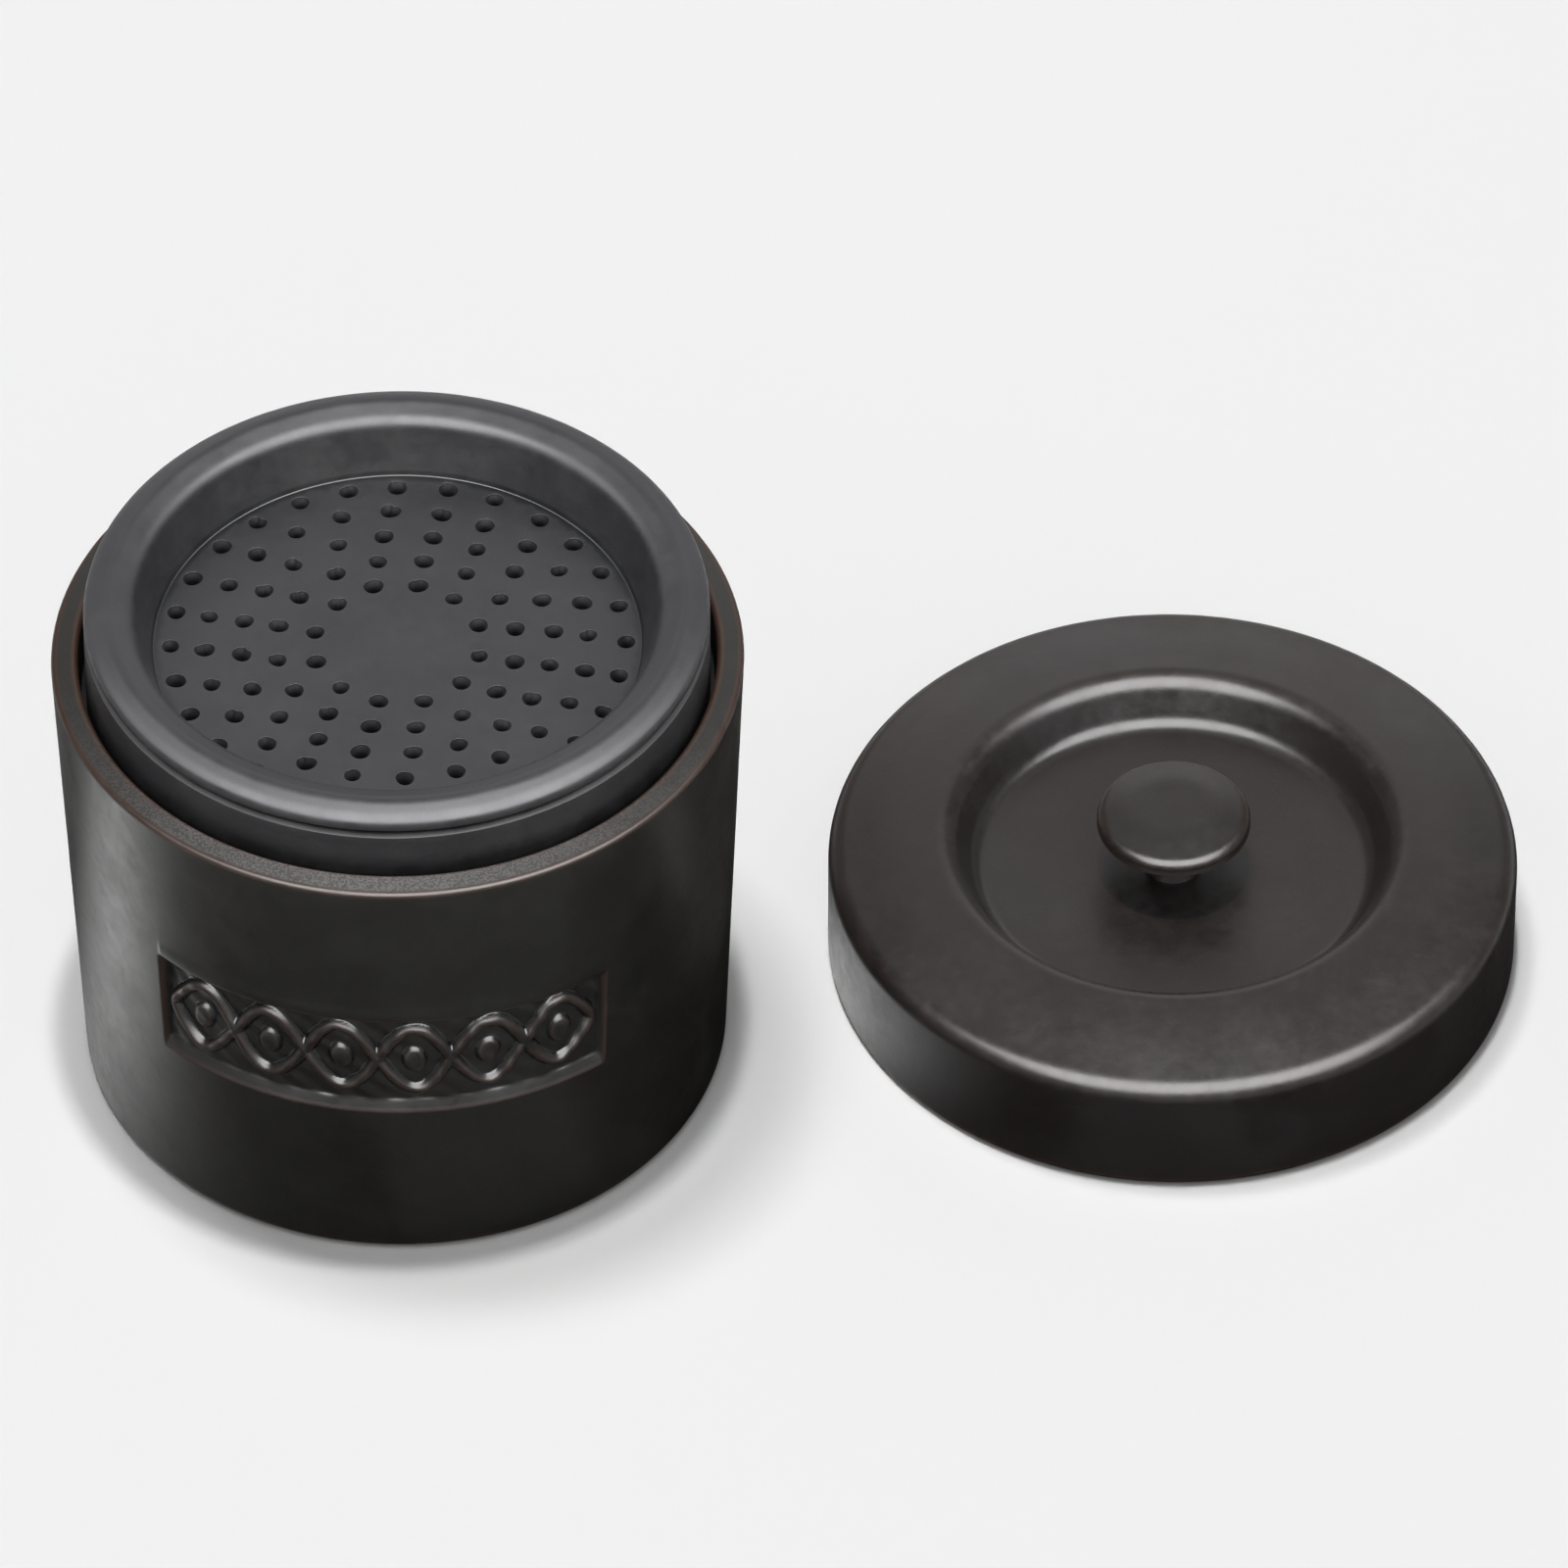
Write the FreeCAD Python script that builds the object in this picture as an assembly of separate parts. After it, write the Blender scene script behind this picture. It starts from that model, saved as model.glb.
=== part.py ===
import FreeCAD, Part

import math
import os

# Stoneware grease jar: a crock, a perforated strainer that hangs in its mouth on a
# ledge, and a lid with a knob, lying beside the crock. Millimetres, +Z up. The origin
# is the centre of the crock's base, and the crock's label panel faces -Y.

# Crock
crock_height = 86.8
rim_diameter = 115.0
foot_diameter = 108.4
rim_width = 4.5
rim_fall = 0.7
rim_round = 0.8
foot_round = 0.9
crock_floor = 6.0
cavity_taper = 0.8
cavity_floor_round = 7.0
ledge_depth = 8.7
ledge_width = 3.8
ledge_round = 0.5

# Label panel, pressed into the front of the crock
panel_bottom = 33.8
panel_height = 21.4
panel_span = 82.0
panel_depth = 2.0
press_margin = 2.0
panel_bottom_slope = 1.4
panel_top_slope = 0.5
panel_corner_round = 1.2
panel_lip_round = 0.45

# Strainer
strainer_clearance = 1.2
strainer_turn = -8.7
collar_wall = 4.2
collar_rise = 7.0
collar_shoulder_round = 0.6
collar_inner_round = 2.1
dish_rise = 1.1
dish_floor_thickness = 4.0
dish_wall_lean = 3.2
dish_floor_round = 0.9
bead_width = 8.1
bead_height = 3.8
bead_edge_height = 1.7
bead_inner_fall = 1.7
bead_ridge_inset = 3.9
bead_foot_round = 0.6
bead_edge_round = 1.7
bead_ridge_round = 2.5
bead_inner_round = 3.0
groove_depth = 2.1
groove_gap = 1.5
groove_round = 0.25
hole_diameter = 3.1
hole_rings = 5
hole_margin = 2.8
inner_ring_diameter = 28.2
inner_ring_holes = 12
holes_added_per_ring = 4
drill_margin = 1.0

# Lid
lid_overhang = 0.9
lid_clearance = 1.2
lid_wall = 4.6
lid_shoulder_height = 22.0
lid_shoulder_round = 3.5
lid_lip_height = 26.0
lid_crown_width = 20.7
lid_lip_round = 3.7
lid_crown_fall = 1.5
lid_crown_round = 60.0
recess_depth = 8.1
recess_taper = 4.0
recess_floor_round = 3.1
skirt_foot_round = 0.9
lid_inner_round = 2.5
lid_gap = 15.3
lid_bearing = 11.3

# Knob, made by itself and luted to the lid
knob_height = 13.9
knob_diameter = 26.0
knob_crown_width = 6.0
knob_crown_fall = 1.3
knob_crown_round = 14.0
knob_edge_height = 2.6
knob_edge_round = 2.8
knob_rim_foot_round = 0.4
knob_underside_rise = 3.2
knob_neck_diameter = 8.2
knob_foot_diameter = 9.8
knob_foot_flare = 2.4
knob_neck_round = 3.0

# Derived radii and levels
rim_radius = rim_diameter / 2
foot_radius = foot_diameter / 2
wall_height = crock_height - rim_fall
mouth_radius = rim_radius - rim_width
cavity_radius = mouth_radius - ledge_width
ledge_level = crock_height - ledge_depth
collar_radius = mouth_radius - strainer_clearance
dish_level = crock_height + dish_rise
under_level = dish_level - dish_floor_thickness
shoulder_level = crock_height + collar_rise
bead_level = shoulder_level + groove_gap
dish_radius = collar_radius - bead_width - dish_wall_lean
lid_radius = rim_radius + lid_overhang
skirt_inner_radius = collar_radius + lid_clearance
lip_radius = lid_radius - lid_crown_width
recess_radius = lip_radius - recess_taper
recess_level = lid_lip_height - recess_depth
lid_distance = rim_radius + lid_gap + lid_radius

Z_AXIS = FreeCAD.Vector(0, 0, 1)
ORIGIN = FreeCAD.Vector(0, 0, 0)


def rounded_corner(before, at, after, radius):
    """Start, middle and end of the arc that rounds the corner at a point."""
    back = (before - at).normalize()
    ahead = (after - at).normalize()
    half = back.getAngle(ahead) / 2
    reach = radius / math.tan(half)
    bisector = (back + ahead).normalize()
    middle = at + bisector * (radius / math.sin(half) - radius)
    return at + back * reach, middle, at + ahead * reach


def turned(corners):
    """Solid turned about Z from (radius, height, rounding) corners."""
    points = [FreeCAD.Vector(radius, 0, height) for radius, height, _ in corners]
    count = len(points)
    edges = []
    stops = []
    for index, (_, _, rounding) in enumerate(corners):
        at = points[index]
        if rounding == 0:
            stops.append((at, at))
            continue
        after = points[(index + 1) % count]
        start, middle, end = rounded_corner(points[index - 1], at, after, rounding)
        edges.append(Part.Arc(start, middle, end).toShape())
        stops.append((start, end))
    for index, (_, end) in enumerate(stops):
        start = stops[(index + 1) % count][0]
        edges.append(Part.LineSegment(end, start).toShape())
    wire = Part.Wire(Part.__sortEdges__(edges))
    return Part.Face(wire).revolve(ORIGIN, Z_AXIS, 360)


def crock_radius(height):
    """Outer radius of the drafted crock wall at a height."""
    return foot_radius + (rim_radius - foot_radius) * height / wall_height


def panel_press():
    """Tool that presses the label panel: a curved bar with rounded corners."""
    panel_top = panel_bottom + panel_height
    section = [
        (crock_radius(panel_bottom) + press_margin, panel_bottom - panel_bottom_slope),
        (crock_radius(panel_bottom) - panel_depth, panel_bottom + panel_bottom_slope),
        (crock_radius(panel_top) - panel_depth, panel_top - panel_top_slope),
        (crock_radius(panel_top) + press_margin, panel_top + panel_top_slope),
    ]
    points = [FreeCAD.Vector(radius, 0, height) for radius, height in section]
    face = Part.Face(Part.makePolygon(points + points[:1]))
    press = face.revolve(ORIGIN, Z_AXIS, panel_span)
    press.rotate(ORIGIN, Z_AXIS, -90 - panel_span / 2)
    corners = [edge for edge in press.Edges if is_radial(edge)]
    return press.makeFillet(panel_corner_round, corners)


def is_radial(edge):
    """True for a straight edge that runs across the wall."""
    if edge.Curve.TypeId != "Part::GeomLine":
        return False
    first, last = (vertex.Point for vertex in edge.Vertexes)
    return abs(math.hypot(first.x, first.y) - math.hypot(last.x, last.y)) > panel_depth


def soft_mouth(body):
    """Round the edge where the label panel opens in the outer wall."""
    wall = max(body.Faces, key=lambda face: face.Area)
    mouths = [wire for wire in wall.Wires if not wire.isSame(wall.OuterWire)]
    return body.makeFillet(panel_lip_round, mouths[0].Edges)


def crock():
    body = turned([
        (0, 0, 0),
        (foot_radius, 0, foot_round),
        (rim_radius, wall_height, rim_round),
        (mouth_radius, crock_height, rim_round),
        (mouth_radius, ledge_level, ledge_round),
        (cavity_radius, ledge_level, ledge_round),
        (cavity_radius - cavity_taper, crock_floor, cavity_floor_round),
        (0, crock_floor, 0),
    ])
    return soft_mouth(body.cut(panel_press()))


def strainer_holes():
    """Rings of holes that all start on one radial line."""
    ring_pitch = (dish_radius - hole_margin - inner_ring_diameter / 2) / (hole_rings - 1)
    holes = []
    for ring in range(hole_rings):
        ring_radius = inner_ring_diameter / 2 + ring * ring_pitch
        count = inner_ring_holes + ring * holes_added_per_ring
        for index in range(count):
            angle = math.radians(strainer_turn + 360 * index / count)
            foot = FreeCAD.Vector(
                ring_radius * math.cos(angle),
                ring_radius * math.sin(angle),
                under_level - drill_margin,
            )
            length = dish_floor_thickness + 2 * drill_margin
            holes.append(Part.makeCylinder(hole_diameter / 2, length, foot, Z_AXIS))
    return Part.makeCompound(holes)


def strainer():
    bead_top = bead_level + bead_height
    collar_inner_radius = collar_radius - collar_wall
    body = turned([
        (0, under_level, 0),
        (collar_inner_radius, under_level, collar_inner_round),
        (collar_inner_radius, ledge_level, ledge_round),
        (collar_radius, ledge_level, ledge_round),
        (collar_radius, shoulder_level, collar_shoulder_round),
        (collar_radius - groove_depth, bead_level - groove_gap / 2, groove_round),
        (collar_radius, bead_level, bead_foot_round),
        (collar_radius, bead_level + bead_edge_height, bead_edge_round),
        (collar_radius - bead_ridge_inset, bead_top, bead_ridge_round),
        (collar_radius - bead_width, bead_top - bead_inner_fall, bead_inner_round),
        (dish_radius, dish_level, dish_floor_round),
        (0, dish_level, 0),
    ])
    return body.cut(strainer_holes())


def beside_the_crock(shape):
    """Put a piece of the lid where the lid lies on the table."""
    angle = math.radians(lid_bearing)
    shift = FreeCAD.Vector(math.cos(angle), math.sin(angle), 0) * lid_distance
    shape.translate(shift)
    return shape


def lid():
    lean = recess_taper / recess_depth
    across = lid_wall * math.hypot(1, lean) - lid_wall * lean
    crown_radius = (lid_radius + lip_radius) / 2
    crown_height = lid_lip_height - lid_crown_fall
    body = turned([
        (skirt_inner_radius, 0, skirt_foot_round),
        (lid_radius, 0, skirt_foot_round),
        (lid_radius, lid_shoulder_height, lid_shoulder_round),
        (crown_radius, crown_height, lid_crown_round),
        (lip_radius, lid_lip_height, lid_lip_round),
        (recess_radius, recess_level, recess_floor_round),
        (0, recess_level, 0),
        (0, recess_level - lid_wall, 0),
        (recess_radius + across, recess_level - lid_wall, lid_inner_round),
        (lip_radius + across, lid_lip_height - lid_wall, lid_inner_round),
        (skirt_inner_radius, lid_shoulder_height - lid_wall, lid_inner_round),
    ])
    return beside_the_crock(body)


def knob():
    cap_radius = knob_diameter / 2
    neck_radius = knob_neck_diameter / 2
    top = recess_level + knob_height
    cap_shoulder = top - knob_crown_fall
    cap_edge = cap_shoulder - knob_edge_height
    body = turned([
        (0, recess_level, 0),
        (knob_foot_diameter / 2, recess_level, 0),
        (neck_radius, recess_level + knob_foot_flare, knob_neck_round),
        (neck_radius, cap_edge - knob_underside_rise, knob_neck_round),
        (cap_radius, cap_edge, knob_rim_foot_round),
        (cap_radius, cap_shoulder, knob_edge_round),
        (cap_radius - knob_crown_width, top, knob_crown_round),
        (0, top, 0),
    ])
    return beside_the_crock(body)


def save(node, shape):
    shape.exportStep("parts/" + node + ".step")
    print(node, len(shape.Solids), round(shape.Volume), shape.isValid())


os.makedirs("parts", exist_ok=True)
save("crock", crock())
save("strainer", strainer())
save("lid", lid())
save("lid_knob", knob())
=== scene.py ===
import math

import bpy
import numpy as np
from mathutils import Euler, Matrix, Vector
from mathutils.geometry import delaunay_2d_cdt


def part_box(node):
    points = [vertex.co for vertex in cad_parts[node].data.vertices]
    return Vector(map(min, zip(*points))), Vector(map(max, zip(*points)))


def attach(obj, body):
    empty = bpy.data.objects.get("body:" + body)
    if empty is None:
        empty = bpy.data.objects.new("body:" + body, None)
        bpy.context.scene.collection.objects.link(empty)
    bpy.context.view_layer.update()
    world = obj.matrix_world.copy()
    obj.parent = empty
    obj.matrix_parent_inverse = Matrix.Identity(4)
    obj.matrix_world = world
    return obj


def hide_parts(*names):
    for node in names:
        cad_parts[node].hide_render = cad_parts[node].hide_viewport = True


# Looks of the stoneware grease jar: each piece is turned again from its outline, finer
# than the CAD and as soft as glaze leaves it, and gets a satin stoneware glaze.
# Metres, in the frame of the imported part.

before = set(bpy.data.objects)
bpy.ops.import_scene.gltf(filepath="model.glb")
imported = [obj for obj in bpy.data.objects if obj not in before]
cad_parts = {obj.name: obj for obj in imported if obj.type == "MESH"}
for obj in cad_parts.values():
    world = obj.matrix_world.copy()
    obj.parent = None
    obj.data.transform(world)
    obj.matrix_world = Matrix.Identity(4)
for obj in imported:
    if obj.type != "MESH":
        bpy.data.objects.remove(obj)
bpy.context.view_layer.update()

MM = 0.001
FRONT = -math.pi / 2
RANDOM_SEED = 11

_, CROCK_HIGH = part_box("crock")
STRAINER_LOW, STRAINER_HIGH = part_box("strainer")
LID_LOW, LID_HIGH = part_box("lid")
KNOB_LOW, KNOB_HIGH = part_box("lid_knob")

# Crock. The rounding of the rim's edge keeps the CAD's box a little below the rim's level.
# Some roundings here and below are softer or crisper than the CAD's, as the glaze leaves them.
RIM_EDGE_LOSS = 0.134 * MM
RIM_LEVEL = CROCK_HIGH.z + RIM_EDGE_LOSS
RIM_RADIUS = CROCK_HIGH.x
FOOT_RADIUS = 54.2 * MM
RIM_WIDTH = 4.5 * MM
RIM_FALL = 0.7 * MM
RIM_ROUND = 0.8 * MM
FOOT_ROUND = 1.4 * MM
LEDGE_LEVEL = STRAINER_LOW.z
LEDGE_WIDTH = 3.8 * MM
LEDGE_ROUND = 0.5 * MM
CAVITY_TAPER = 0.8 * MM
CAVITY_FLOOR = 6.0 * MM
CAVITY_ROUND = 7.0 * MM
CROCK_UNEVENNESS = 0.12 * MM
WIPED_DEPTH = 0.1 * MM
FOOT_CONTACT = 0.05 * MM
OUTER_WALL_MARGIN = 0.6 * MM

# Label panel on the crock's front
PANEL_BOTTOM = 33.8 * MM
PANEL_TOP = 55.2 * MM
PANEL_SPAN = math.radians(82.0)
PANEL_DEPTH = 2.0 * MM
PANEL_STEP = 0.25 * MM
PANEL_MARGIN = 2.5 * MM
PANEL_SIDE_SPACE = 3.6 * MM
MOTIF_COUNT = 6
PANEL_LEDGE = 2.4 * MM
PANEL_LEDGE_START = 0.15
PANEL_SIDE_RAMP = (-0.35 * MM, 0.45 * MM)
PANEL_TOP_RAMP = (-0.5 * MM, 0.9 * MM)
PANEL_FOOT_DEPTH = 1.2 * MM
PANEL_BULGE = 0.15 * MM
PANEL_BULGE_RISE = 1.6 * MM
PANEL_BULGE_SPREAD = 1.2 * MM
PANEL_FLOOR_WAVE = 0.16 * MM
PANEL_EDGE_WEAR = 0.45 * MM
MOTIF_RISE = 0.9 * MM
MOTIF_WANDER = 0.2 * MM
MOTIF_SWING = 6.9 * MM
MOTIF_STROKE = 2.4 * MM
MOTIF_RELIEF = 1.3 * MM
STUD_HALF_WIDTH = 2.1 * MM
STUD_HALF_HEIGHT = 3.0 * MM
STUD_RELIEF_SHARE = 0.8
RELIEF_BLURS = 6
RELIEF_FOR_FULL_BEND = 0.12 * MM

# Strainer, its heights measured from the ledge
COLLAR_RADIUS = STRAINER_HIGH.x
COLLAR_WALL = 4.2 * MM
COLLAR_HEIGHT = 15.7 * MM
COLLAR_SHOULDER_ROUND = 0.04 * MM
COLLAR_INNER_ROUND = 2.1 * MM
GROOVE_GAP = 1.5 * MM
GROOVE_DEPTH = 2.1 * MM
GROOVE_ROUND = 0.25 * MM
BEAD_WIDTH = 8.1 * MM
BEAD_HEIGHT = 3.77 * MM
BEAD_EDGE_HEIGHT = 1.45 * MM
BEAD_INNER_FALL = 1.7 * MM
BEAD_RIDGE_INSET = 3.9 * MM
BEAD_FOOT_ROUND = 0.6 * MM
BEAD_EDGE_ROUND = 1.7 * MM
BEAD_RIDGE_ROUND = 2.5 * MM
BEAD_INNER_ROUND = 3.0 * MM
BEAD_SWELL = 0.3 * MM
BEAD_SWELL_ROUND = 5.0 * MM
DISH_HEIGHT = 9.8 * MM
DISH_WALL_LEAN = 3.2 * MM
DISH_CORNER_ROUND = 0.3 * MM
DISH_FLOOR_THICKNESS = 4.0 * MM
FLOOR_WAVE = 0.1 * MM
FLOOR_SPACING = 1.5 * MM
HOLE_RADIUS = 1.55 * MM
HOLE_LIP = 0.05 * MM
HOLE_FLARE = 0.5 * MM
HOLE_THROAT = 1.9 * MM
HOLE_MARGIN = 2.8 * MM
HOLE_RINGS = 5
INNER_RING_RADIUS = 14.1 * MM
INNER_RING_HOLES = 12
HOLES_ADDED_PER_RING = 4
HOLE_START = math.radians(-8.7)
HOLE_COLUMNS = 28
HOLE_SIZE_SPREAD = 0.09
HOLE_REACH_SPREAD = 0.25 * MM
HOLE_TURN_SPREAD = 0.35 * MM
HOLE_OVAL = 0.04
HOLE_TRIANGLE = 0.02
NOTCH_CHANCE = 0.3
NOTCH_LEAST, NOTCH_MOST = 0.1, 0.28
NOTCH_WIDTH = 0.4
HOLE_LARGEST_SHARE = 1.06
HOLE_RIM_CLEARANCE = 0.3 * MM

# Lid
LID_CENTRE = Vector(((LID_LOW.x + LID_HIGH.x) / 2, (LID_LOW.y + LID_HIGH.y) / 2, 0))
LID_RADIUS = (LID_HIGH.x - LID_LOW.x) / 2
LID_LIP_HEIGHT = 26.0 * MM
LID_SHOULDER_HEIGHT = 22.0 * MM
LID_SHOULDER_ROUND = 3.5 * MM
LID_CROWN_WIDTH = 20.7 * MM
LID_CROWN_FALL = 1.5 * MM
LID_CROWN_ROUND = 60.0 * MM
LID_LIP_ROUND = 3.7 * MM
LID_WALL = 4.6 * MM
SKIRT_WALL = 5.4 * MM
SKIRT_FOOT_ROUND = 1.5 * MM
LID_INNER_ROUND = 2.5 * MM
RECESS_LEVEL = KNOB_LOW.z
RECESS_TAPER = 4.0 * MM
RECESS_ROUND = 3.1 * MM
LID_UNEVENNESS = 0.1 * MM

# Knob
KNOB_TOP = KNOB_HIGH.z
KNOB_RADIUS = (KNOB_HIGH.x - KNOB_LOW.x) / 2
KNOB_CROWN_WIDTH = 6.0 * MM
KNOB_CROWN_FALL = 1.3 * MM
KNOB_CROWN_ROUND = 14.0 * MM
KNOB_EDGE_HEIGHT = 2.6 * MM
KNOB_EDGE_ROUND = 1.9 * MM
KNOB_RIM_FOOT_ROUND = 0.4 * MM
KNOB_UNDERSIDE_RISE = 3.2 * MM
KNOB_NECK_RADIUS = 4.1 * MM
KNOB_FOOT_RADIUS = 4.9 * MM
KNOB_FOOT_FLARE = 2.4 * MM
KNOB_NECK_ROUND = 3.0 * MM

# Fineness of the meshes
TURN_COLUMNS = 320
ARC_STEP = math.radians(9)
END_STEP = 0.5 * MM
END_POINTS = 3
SHORT_RUN = 4.0 * MM
STRAIGHT_STEP = 4.0 * MM
BEND_BLUR = 0.45 * MM

# Camera
CAMERA_TURN = math.radians(3.2)
CAMERA_PITCH = math.radians(44.53)
CAMERA_DISTANCE = 2.6193
CAMERA_LENS = 360
CAMERA_TARGET = Vector((64.0 * MM, 0, 55.3 * MM))


# ---------------------------------------------------------------- outlines

def arc_points(before, at, after, radius):
    """Points of the arc that rounds a corner, from the side before it to the side after."""
    back = (before - at) / np.linalg.norm(before - at)
    ahead = (after - at) / np.linalg.norm(after - at)
    half = math.acos(np.clip(back @ ahead, -1, 1)) / 2
    centre = at + (back + ahead) / np.linalg.norm(back + ahead) * radius / math.sin(half)
    sweep = math.pi - 2 * half
    count = max(3, math.ceil(sweep / ARC_STEP)) + 1
    start = at + back * radius / math.tan(half) - centre
    turn = 1 if back[0] * ahead[1] - back[1] * ahead[0] < 0 else -1
    angles = np.linspace(0, sweep, count) * turn
    cosines, sines = np.cos(angles), np.sin(angles)
    x = start[0] * cosines - start[1] * sines
    y = start[0] * sines + start[1] * cosines
    return centre + np.stack([x, y], 1), turn / radius


def outline(corners):
    """Radii, heights and bends of an outline given as (radius, height, rounding) corners.

    The bend is positive on an outer edge, where glaze runs thin, and negative in a
    hollow, where it pools.
    """
    spots = np.array([corner[:2] for corner in corners], float)
    points, bends = [spots[0]], [0.0]
    for index in range(1, len(corners)):
        rounding = corners[index][2]
        if rounding and index < len(corners) - 1:
            stretch, bend = arc_points(spots[index - 1], spots[index], spots[index + 1], rounding)
        else:
            stretch, bend = spots[index:index + 1], 0.0
        start, run = points[-1], stretch[0] - points[-1]
        for share in straight_shares(np.linalg.norm(run)):
            points.append(start + share * run)
            bends.append(0.0)
        points.extend(stretch)
        bends.extend([bend] * len(stretch))
    points = np.array(points)
    return points[:, 0], points[:, 1], blurred_bend(points, np.array(bends))


def straight_shares(length):
    """Shares of a straight run that get a point: close together near its ends."""
    if length < SHORT_RUN:
        return np.linspace(0, 1, math.ceil(length / END_STEP) + 1)[1:-1]
    near = END_STEP * np.arange(1, END_POINTS)
    first = END_STEP * END_POINTS
    middle = np.linspace(first, length - first, math.ceil(length / STRAIGHT_STEP) + 1)
    return np.concatenate([near, middle, length - near[::-1]]) / length


def blurred_bend(points, bends):
    """Bends of an outline, faded along it, as shares of the sharpest bend that matters."""
    lengths = np.linalg.norm(np.diff(points, axis=0), axis=1)
    along = np.concatenate([[0], np.cumsum(lengths)])
    widths = np.gradient(along)
    weights = np.exp(-((along[:, None] - along[None, :]) / BEND_BLUR) ** 2 / 2) * widths[None, :]
    return np.clip((weights @ bends) / weights.sum(1) * MM, -1, 1)


# ---------------------------------------------------------------- meshes

def mesh_object(name, points, faces, bend, bare_and_sheen):
    """Smooth-shaded object with the glaze's bend attribute and its attribute of bare clay and painted
    sheen on its points.
    """
    mesh = bpy.data.meshes.new(name)
    mesh.from_pydata(points.tolist(), [], faces)
    mesh.validate()
    for label, values in (("bend", bend), ("bare_and_sheen", bare_and_sheen)):
        attribute = mesh.attributes.new(label, "FLOAT", "POINT")
        attribute.data.foreach_set("value", np.asarray(values, np.float32))
    mesh.polygons.foreach_set("use_smooth", np.ones(len(mesh.polygons), bool))
    made = bpy.data.objects.new(name, mesh)
    bpy.context.scene.collection.objects.link(made)
    return made


def ring_faces(rows, columns, first=0):
    """Quads between the rings of a turned surface, each ring closed."""
    row = np.arange(rows - 1)[:, None] * columns + first
    column = np.arange(columns)[None, :]
    following = (column + 1) % columns
    upper = row + columns
    quads = np.stack([row + column, row + following, upper + following, upper + column], 2)
    return quads.reshape(-1, 4).tolist()


def cap_faces(pole, ring_start, columns, upward):
    """Triangles from a point on the axis to the ring around it."""
    ring = [ring_start + column for column in range(columns)]
    pairs = zip(ring, ring[1:] + ring[:1])
    return [(pole, a, b) if upward else (pole, b, a) for a, b in pairs]


def turned_grid(radii, heights, angles):
    """Points of a turned surface, ring by ring."""
    x = radii[:, None] * np.cos(angles)[None, :]
    y = radii[:, None] * np.sin(angles)[None, :]
    z = np.broadcast_to(heights[:, None], x.shape)
    return np.stack([x, y, z], 2)


def unevenness(angles, heights, size):
    """How far a thrown wall falls short of a true circle: a few slow waves."""
    waves = np.sin(2 * angles + 0.8 + 9 * heights) + 0.6 * np.sin(3 * angles - 1.1 - 17 * heights)
    return size * (waves - 1.6) / 3.2


def turned(name, corners, bare_and_sheen, centre, uneven):
    """Object turned from an outline that begins and ends on the axis."""
    radii, heights, bends = outline(corners)
    angles = np.arange(TURN_COLUMNS) * 2 * math.pi / TURN_COLUMNS
    grid = turned_grid(radii[1:-1], heights[1:-1], angles)
    share = unevenness(angles[None, :], heights[1:-1, None], uneven) / RIM_RADIUS
    grid[:, :, :2] *= 1 + share[:, :, None]
    return closed_turn(name, grid, heights, bends, bareness_and_sheen_share(radii, heights, angles, bare_and_sheen), centre)


def bareness_and_sheen_share(radii, heights, angles, bare_and_sheen):
    """How bare of glaze the clay is at each point of a turned surface, from 0 to 1; on the crock's rim it
    also carries a painted paler sheen on the front.
    """
    if bare_and_sheen is None:
        return np.zeros((len(radii), len(angles)))
    return np.array([
        [bare_and_sheen(radius, height, angle) for angle in angles]
        for radius, height in zip(radii, heights)
    ])


def closed_turn(name, grid, heights, bends, bare_and_sheen, centre):
    """Object from rings of points, closed on the axis below the first and above the last."""
    rows, columns = grid.shape[:2]
    poles = np.array([[0, 0, heights[0]], [0, 0, heights[-1]]])
    points = np.concatenate([grid.reshape(-1, 3), poles]) + np.array(centre)
    faces = ring_faces(rows, columns)
    faces += cap_faces(rows * columns, 0, columns, upward=False)
    faces += cap_faces(rows * columns + 1, (rows - 1) * columns, columns, upward=True)
    ends = [0, len(heights) - 1]
    if bends.ndim == 1:
        bends = np.repeat(bends[:, None], columns, 1)
    ringed = np.concatenate([bends[1:-1].ravel(), bends[ends, 0]])
    bare_and_sheen_values = np.concatenate([bare_and_sheen[1:-1].ravel(), bare_and_sheen[ends, 0]])
    return mesh_object(name, points, faces, ringed, bare_and_sheen_values)


# ---------------------------------------------------------------- crock

def crock_corners():
    """Outline of the crock, with closer points on the wall where the panel is pressed."""
    mouth = RIM_RADIUS - RIM_WIDTH
    cavity = mouth - LEDGE_WIDTH
    levels = np.arange(PANEL_BOTTOM - PANEL_MARGIN, PANEL_TOP + PANEL_MARGIN, PANEL_STEP)
    wall = [(wall_radius(level), level, 0) for level in levels]
    return [
        (0, 0, 0),
        (FOOT_RADIUS, 0, FOOT_ROUND),
        *wall,
        (RIM_RADIUS, RIM_LEVEL - RIM_FALL, RIM_ROUND),
        (mouth, RIM_LEVEL, RIM_ROUND),
        (mouth, LEDGE_LEVEL, LEDGE_ROUND),
        (cavity, LEDGE_LEVEL, LEDGE_ROUND),
        (cavity - CAVITY_TAPER, CAVITY_FLOOR, CAVITY_ROUND),
        (0, CAVITY_FLOOR, 0),
    ]


def wall_radius(height):
    """Outer radius of the drafted wall at a height."""
    return FOOT_RADIUS + (RIM_RADIUS - FOOT_RADIUS) * height / (RIM_LEVEL - RIM_FALL)


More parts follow.
